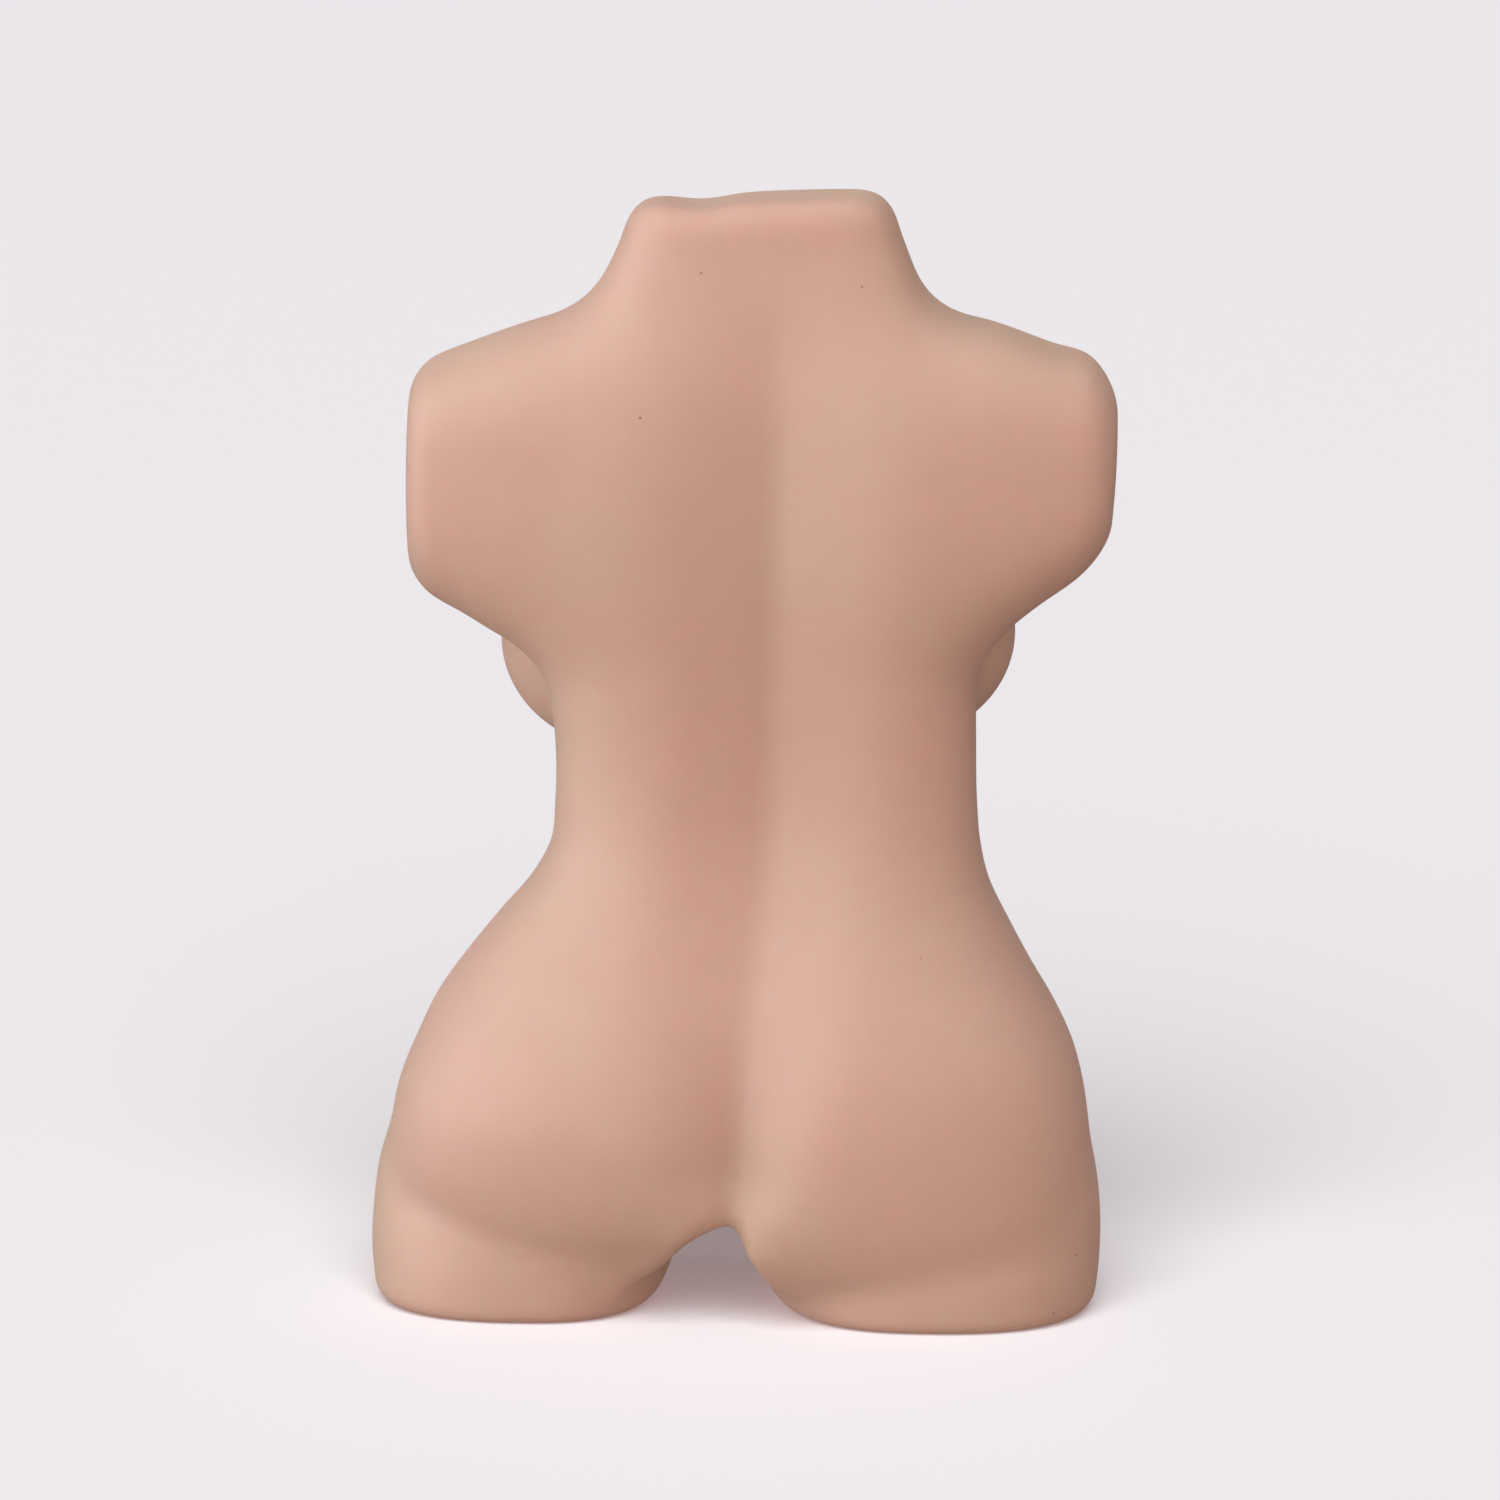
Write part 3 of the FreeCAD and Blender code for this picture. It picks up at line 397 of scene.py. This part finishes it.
BOOT_WALL, BOOT_PLEATS, BOOT_WAVE = 2.5, 6, 2.5
BOOT_COLLAR, BOOT_BELLOWS = 19.6, 30.5      # outer radius at the two collars and half way up a pleat
BOOT_MARGIN = 18                            # from each end to the first pleat


def boot_outline(low, high):
    """The pleated sleeve's wall, up its outside and down its inside."""
    places = np.linspace(low, high, 150)
    inwards = np.minimum(places - low, high - places)
    swell = ramp(inwards, 6, 20)
    pleated = high - low - 2 * BOOT_MARGIN
    wave = np.cos((places - low - BOOT_MARGIN) / pleated * 2 * math.pi * BOOT_PLEATS)
    outside = BOOT_COLLAR + swell * (BOOT_BELLOWS - BOOT_COLLAR - wave * BOOT_WAVE)
    up = list(zip(outside, places))
    down = list(zip(outside[::-1] - BOOT_WALL, places[::-1]))
    return up + down


def disc_outline(radius, low, high, rim=1.2, groove=0.8):
    """A round pad with eased rims and shallow ring grooves in its far face."""
    hub = radius * 0.1
    ease = [(math.sin(t), 1 - math.cos(t)) for t in np.linspace(0, math.pi / 2, 6)]
    outline = [(hub, low)]
    outline += [(radius - rim + rim * u, low + rim * v) for u, v in ease]
    outline += [(radius - rim + rim * u, high - rim * v) for u, v in ease[::-1]]
    ring = ((1.5, 0), (0.9, 1), (-0.9, 1), (-1.5, 0))
    for share in (0.85, 0.65, 0.45, 0.25):
        outline += [(radius * share + u, high - groove * depth) for u, depth in ring]
    outline.append((hub, high))
    return outline


skin = field_mesh("body_skin", skin_wall, AROUND_LOW, AROUND_HIGH, GRID)
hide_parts("hip_skin", "waist_skin", "chest_skin")
bends_at_waist(skin)

core = field_mesh("foam_core", foam, AROUND_LOW, AROUND_HIGH, GRID * 1.3)
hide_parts("hip_foam", "waist_foam", "chest_foam")
bends_at_waist(core)

gels = []
for side in SIDES:
    low, high = GEL_BOXES[side]
    insert = field_mesh("gel_insert_" + side, gel_lens(side), low - 8, high + 8, GRID / 1.5)
    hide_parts("chest_gel_pad_" + side)
    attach(insert, "chest")
    gels.append(insert)

boot_low, boot_high = corners("hinge_boot")
boot = lathe("pleated_boot", boot_outline(boot_low[2], boot_high[2]),
             ((boot_low + boot_high) / 2) * (1, 1, 0), ALONG_Z, hollow=True)
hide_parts("hinge_boot")
bends_at_waist(boot)

PADS = [("foot_pad_left", "pelvis", ALONG_Z, -1), ("foot_pad_right", "pelvis", ALONG_Z, -1),
        ("shoulder_pad_left", "chest", ALONG_X, 1), ("shoulder_pad_right", "chest", ALONG_X, -1),
        ("neck_pad", "chest", ALONG_Z, 1)]
pads = []
for node, body, along, outward in PADS:
    low, high = corners(node)
    across, thick = (high - low)[1] / 2, (high - low)[along] / 2
    outline = disc_outline(across, -thick, thick)
    if outward < 0:
        outline = [(radius, -place) for radius, place in outline[::-1]]
    pad = lathe(node + "_rubber", outline, (low + high) / 2, along, hollow=False)
    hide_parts(node)
    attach(pad, body)
    pads.append(pad)


# ---------------------------------------------------------------- materials
def new_material(name):
    """A material with the nodes and links that the looks below are made of."""
    material = bpy.data.materials.new(name)
    material.use_nodes = True
    return material, material.node_tree.nodes, material.node_tree.links


def dress(piece, material):
    piece.data.materials.clear()
    piece.data.materials.append(material)


def texture(nodes, links, kind, scale):
    """A texture fixed to the piece, with scale cells to the metre."""
    place = nodes.new("ShaderNodeTexCoord")
    pattern = nodes.new(kind)
    pattern.inputs["Scale"].default_value = scale
    links.new(place.outputs["Object"], pattern.inputs["Vector"])
    return pattern


def noise(nodes, links, scale, detail=2.0, roughness=0.5):
    """Soft clouds from 0 to 1."""
    pattern = texture(nodes, links, "ShaderNodeTexNoise", scale)
    pattern.inputs["Detail"].default_value = detail
    pattern.inputs["Roughness"].default_value = roughness
    return pattern.outputs["Fac"]


def cells(nodes, links, scale):
    """The distance to the middle of the nearest cell, in cells."""
    return texture(nodes, links, "ShaderNodeTexVoronoi", scale).outputs["Distance"]


def spread(nodes, links, factor, low, high):
    """A factor from 0 to 1 turned into a value from low to high."""
    scale = nodes.new("ShaderNodeMapRange")
    scale.inputs["To Min"].default_value = low
    scale.inputs["To Max"].default_value = high
    links.new(factor, scale.inputs["Value"])
    return scale.outputs["Result"]


def tones(nodes, links, factor, *stops):
    """Colours spread along a factor: each stop is a place and a colour."""
    scale = nodes.new("ShaderNodeValToRGB")
    while len(scale.color_ramp.elements) < len(stops):
        scale.color_ramp.elements.new(0.5)
    for element, (place, color) in zip(scale.color_ramp.elements, stops):
        element.position = place
        element.color = (*color, 1)
    links.new(factor, scale.inputs["Fac"])
    return scale.outputs["Color"]


def multiply(nodes, links, amount, base, top):
    """A colour darkened by another one, by an amount from 0 to 1."""
    product = nodes.new("ShaderNodeMix")
    product.data_type = "RGBA"
    product.blend_type = "MULTIPLY"
    product.inputs["Factor"].default_value = amount
    links.new(base, product.inputs["A"])
    links.new(top, product.inputs["B"])
    return product.outputs["Result"]


def bump(nodes, links, shader, height, strength, distance):
    """Fine relief in the shading, up to so many metres high."""
    bumps = nodes.new("ShaderNodeBump")
    bumps.inputs["Strength"].default_value = strength
    bumps.inputs["Distance"].default_value = distance
    links.new(height, bumps.inputs["Height"])
    links.new(bumps.outputs["Normal"], shader.inputs["Normal"])


def elastomer():
    """Skin coloured elastomer: a drifting tint, a fine matte tooth, a few specks, and light soaks in."""
    material, nodes, links = new_material("elastomer_skin")
    shader = nodes["Principled BSDF"]
    drift = tones(nodes, links, noise(nodes, links, 9, 2.0, 0.45),
                  (0.35, (0.538, 0.388, 0.322)), (0.50, (0.528, 0.396, 0.322)),
                  (0.65, (0.518, 0.404, 0.318)))
    mottle = tones(nodes, links, noise(nodes, links, 60, 4.0, 0.6),
                   (0.30, (0.96, 0.94, 0.93)), (0.70, (1.0, 1.0, 1.0)))
    specks = tones(nodes, links, cells(nodes, links, 30),
                   (0.012, (0.45, 0.32, 0.28)), (0.026, (1.0, 1.0, 1.0)))
    tinted = multiply(nodes, links, 0.6, drift, mottle)
    links.new(multiply(nodes, links, 1.0, tinted, specks), shader.inputs["Base Color"])
    satin = spread(nodes, links, noise(nodes, links, 40, 3.0, 0.5), 0.42, 0.56)
    links.new(satin, shader.inputs["Roughness"])
    shader.inputs["Specular IOR Level"].default_value = 0.45
    shader.inputs["Subsurface Weight"].default_value = 0.6
    shader.inputs["Subsurface Radius"].default_value = (1.0, 0.35, 0.2)
    shader.inputs["Subsurface Scale"].default_value = 0.010
    bump(nodes, links, shader, noise(nodes, links, 1400, 3.0, 0.6), 0.12, 0.0002)
    return material


def grained(name, dark, light, grain, depth, metallic, rough_low, rough_high):
    """A finish that drifts between two tones, with so many bumps to the metre, so many metres deep."""
    material, nodes, links = new_material(name)
    shader = nodes["Principled BSDF"]
    shader.inputs["Metallic"].default_value = metallic
    wear = noise(nodes, links, 45, 5.0, 0.6)
    links.new(tones(nodes, links, wear, (0.35, dark), (0.65, light)), shader.inputs["Base Color"])
    links.new(spread(nodes, links, wear, rough_low, rough_high), shader.inputs["Roughness"])
    bump(nodes, links, shader, noise(nodes, links, grain, 4.0, 0.6), 0.5, depth)
    return material


def open_cells(name, dark, light, scale):
    """Polyurethane foam: pale walls round small open cells, with painted shade in the cells."""
    material, nodes, links = new_material(name)
    shader = nodes["Principled BSDF"]
    holes = cells(nodes, links, scale)
    # the darker tone in the cells is painted shade in the pores
    links.new(tones(nodes, links, holes, (0.1, dark), (0.5, light)), shader.inputs["Base Color"])
    shader.inputs["Roughness"].default_value = 0.95
    shader.inputs["Specular IOR Level"].default_value = 0.2
    bump(nodes, links, shader, holes, 0.8, 0.0008)
    return material


def soft_gel(name):
    """Clear pinkish gel with small bubbles in it."""
    material, nodes, links = new_material(name)
    shader = nodes["Principled BSDF"]
    bubbles = tones(nodes, links, cells(nodes, links, 220),
                    (0.12, (0.86, 0.74, 0.68)), (0.3, (0.76, 0.56, 0.47)))
    links.new(bubbles, shader.inputs["Base Color"])
    gloss = spread(nodes, links, noise(nodes, links, 90, 3.0, 0.5), 0.15, 0.3)
    links.new(gloss, shader.inputs["Roughness"])
    shader.inputs["Subsurface Weight"].default_value = 1.0
    shader.inputs["Subsurface Radius"].default_value = (1.0, 0.6, 0.45)
    shader.inputs["Subsurface Scale"].default_value = 0.02
    bump(nodes, links, shader, noise(nodes, links, 60, 2.0, 0.4), 0.2, 0.0006)
    return material


FINISHES = {
    # the foam's first tone is painted shade in its open cells
    "foam": open_cells("cut_foam", (0.36, 0.29, 0.18), (0.72, 0.62, 0.42), 700),
    "gel": soft_gel("soft_gel"),
    "boot_rubber": grained("boot_rubber_black", (0.012, 0.012, 0.013), (0.028, 0.027, 0.027),
                           900, 0.0002, 0.0, 0.5, 0.75),
    "pad_rubber": grained("pad_rubber_grey", (0.020, 0.020, 0.022), (0.050, 0.049, 0.050),
                          600, 0.0004, 0.0, 0.65, 0.9),
    "tube_steel": grained("drawn_tube", (0.38, 0.39, 0.40), (0.56, 0.57, 0.58),
                          1500, 0.00005, 1.0, 0.24, 0.42),
    "clamp_steel": grained("black_paint", (0.010, 0.010, 0.011), (0.022, 0.022, 0.023),
                           450, 0.0003, 0.0, 0.35, 0.55),
    "plate_steel": grained("zinc_plate", (0.42, 0.44, 0.46), (0.62, 0.63, 0.62),
                           300, 0.00005, 1.0, 0.3, 0.5),
    "hinge_steel": grained("machined_steel", (0.34, 0.35, 0.37), (0.48, 0.49, 0.50),
                           2200, 0.00008, 1.0, 0.22, 0.38),
    "fastener_steel": grained("oiled_steel", (0.030, 0.030, 0.033), (0.085, 0.082, 0.080),
                              1200, 0.00006, 0.9, 0.28, 0.45),
    "nylon": grained("natural_nylon", (0.62, 0.59, 0.50), (0.74, 0.72, 0.64),
                     500, 0.0001, 0.0, 0.4, 0.6),
}
dress(skin, elastomer())
dress(core, FINISHES["foam"])
dress(boot, FINISHES["boot_rubber"])
for insert in gels:
    dress(insert, FINISHES["gel"])
for pad in pads:
    dress(pad, FINISHES["pad_rubber"])
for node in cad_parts.values():
    if not node.hide_render:
        node.material_slots[0].material = FINISHES[node.material_slots[0].material.name]


# ---------------------------------------------------------------- floor, light and camera
def stage_floor():
    """A pale, softly glowing table that reaches far behind the figure and casts no light on it."""
    half = 40.0
    outline = [(-half, -half, 0), (half, -half, 0), (half, half, 0), (-half, half, 0)]
    floor = mesh_piece("floor", outline, [(0, 1, 2, 3)])
    material, nodes, _ = new_material("pale_table")
    shader = nodes["Principled BSDF"]
    shader.inputs["Base Color"].default_value = (0.72, 0.705, 0.72, 1)
    shader.inputs["Roughness"].default_value = 0.9
    shader.inputs["Specular IOR Level"].default_value = 0.1
    # the pink of the glow is painted light: a warm cast standing in for light bounced off the skin, seen
    # where the floor lies in shade
    shader.inputs["Emission Color"].default_value = (1.0, 0.80, 0.87, 1)
    shader.inputs["Emission Strength"].default_value = 0.18
    dress(floor, material)
    floor.visible_diffuse = False
    floor.visible_glossy = False
    floor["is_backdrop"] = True
    return floor


def group(name, *members):
    """A collection that a lamp's light is kept to."""
    chosen = bpy.data.collections.new(name)
    for member in members:
        chosen.objects.link(member)
    return chosen


def sun(name, azimuth, elevation, strength, spread, color, lit):
    """A far, soft light on one group. Azimuth is measured from behind the figure towards its left."""
    light = bpy.data.lights.new(name, "SUN")
    light.energy = strength
    light.color = color
    light.angle = math.radians(spread)
    lamp = bpy.data.objects.new(name, light)
    bpy.context.scene.collection.objects.link(lamp)
    around, up = math.radians(azimuth), math.radians(elevation)
    towards = Vector((math.sin(around) * math.cos(up), math.cos(around) * math.cos(up), math.sin(up)))
    lamp.rotation_euler = towards.to_track_quat("Z", "Y").to_euler()
    lamp.light_linking.receiver_collection = lit
    lamp.light_linking.blocker_collection = figure_group
    return lamp


def studio_world(light, seen):
    """Dim light from all round, and a paler tone where the camera sees past the floor."""
    world = bpy.data.worlds.new("studio")
    world.use_nodes = True
    nodes, links = world.node_tree.nodes, world.node_tree.links
    path = nodes.new("ShaderNodeLightPath")
    tone = nodes.new("ShaderNodeMix")
    tone.data_type = "RGBA"
    tone.inputs["A"].default_value = (*light, 1)
    tone.inputs["B"].default_value = (*seen, 1)
    links.new(path.outputs["Is Camera Ray"], tone.inputs["Factor"])
    links.new(tone.outputs["Result"], nodes["Background"].inputs["Color"])
    bpy.context.scene.world = world


floor = stage_floor()
figure_group = group("lit_figure", *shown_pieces())
floor_group = group("lit_floor", floor)
sun("key", 68, 20, 1.95, 75, (0.94, 1.0, 1.03), figure_group)
sun("top", -45, 70, 1.2, 90, (1.0, 1.0, 1.0), figure_group)
sun("fill", 7, 5, 2.32, 180, (1.0, 0.65, 0.55), figure_group)
far_side = sun("far_side", 180, 5, 2.2, 40, (1.0, 0.95, 0.93), figure_group)
far_side.visible_glossy = False         # so that it leaves no bright rim along the outline
sun("table", 5, 40, 4.1, 50, (0.985, 1.03, 1.035), floor_group)
studio_world((0.10, 0.09, 0.09), (0.83, 0.83, 0.83))
bpy.context.scene.view_settings.view_transform = "Standard"

# The camera looks at the figure's back from a little above, with a long lens.
AZIMUTH, ELEVATION, ROLL = math.radians(181), math.radians(8.5), math.radians(0.6)
DISTANCE, LENS = 3.3, 158.3
camera = bpy.data.objects.new("camera", bpy.data.cameras.new("camera"))
bpy.context.scene.collection.objects.link(camera)
camera.data.lens = LENS
middle = Vector((0, 0, HEIGHT * MM / 2))
outward = Vector((math.sin(AZIMUTH) * math.cos(ELEVATION), -math.cos(AZIMUTH) * math.cos(ELEVATION),
                  math.sin(ELEVATION)))
camera.location = middle + outward * DISTANCE
aim = (-outward).to_track_quat("-Z", "Y") @ Quaternion((0, 0, 1), ROLL)
camera.rotation_euler = aim.to_euler()
bpy.context.scene.camera = camera
